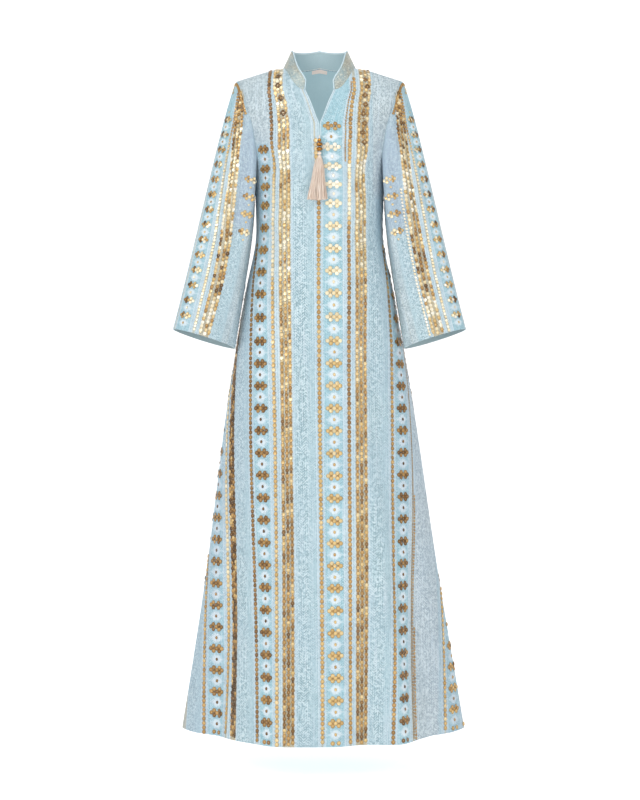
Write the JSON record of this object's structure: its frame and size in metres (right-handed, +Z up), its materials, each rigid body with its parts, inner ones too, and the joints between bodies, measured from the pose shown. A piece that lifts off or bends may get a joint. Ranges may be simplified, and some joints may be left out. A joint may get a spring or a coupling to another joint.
{
  "type": "jalabiya",
  "caption": "Floor-length kaftan gown with stand collar, open neck slit with beaded tassel, long flared sleeves and vertical sequin stripes, filled out as if worn.",
  "frame": {"origin": "midway between the two points where the collar meets the shoulder seams, where the wearer's shoulders carry the garment", "axes": "+Z up, the front faces -Y, +X to the wearer's left"},
  "size_m": [0.6378, 0.3254, 1.5108],
  "materials": {
    "striped_cloth": "powder aqua cloth with fine chevron beadwork and bands of sequins, soft sheen",
    "collar_cloth": "aqua cloth covered with fine grey-beige metallic beading",
    "plain_cloth": "plain smooth teal-blue cloth, matte",
    "edging": "plain light-blue folded edging, satin",
    "label": "bare beige woven ribbon",
    "tassel_silk": "beige-pink silk thread, soft sheen",
    "beads": "polished faceted gold-bronze bead",
    "sequins": "cupped gold sequin, from pale highlight to bronze"
  },
  "bodies": {
    "root": {"front_panel": "striped_cloth", "back_panel": "striped_cloth", "sleeve_left": "striped_cloth", "sleeve_right": "striped_cloth", "collar_outer": "collar_cloth", "collar_inner": "plain_cloth", "collar_edging": "edging", "slit_edging_left": "edging", "slit_edging_right": "edging", "neck_label": "label", "tassel_cord": "tassel_silk", "bead_round": "beads", "bead_upper_rondelle": "beads", "bead_lower_rondelle": "beads", "tassel_head": "tassel_silk", "tassel_skirt": "tassel_silk"}
  },
  "joints": []
}
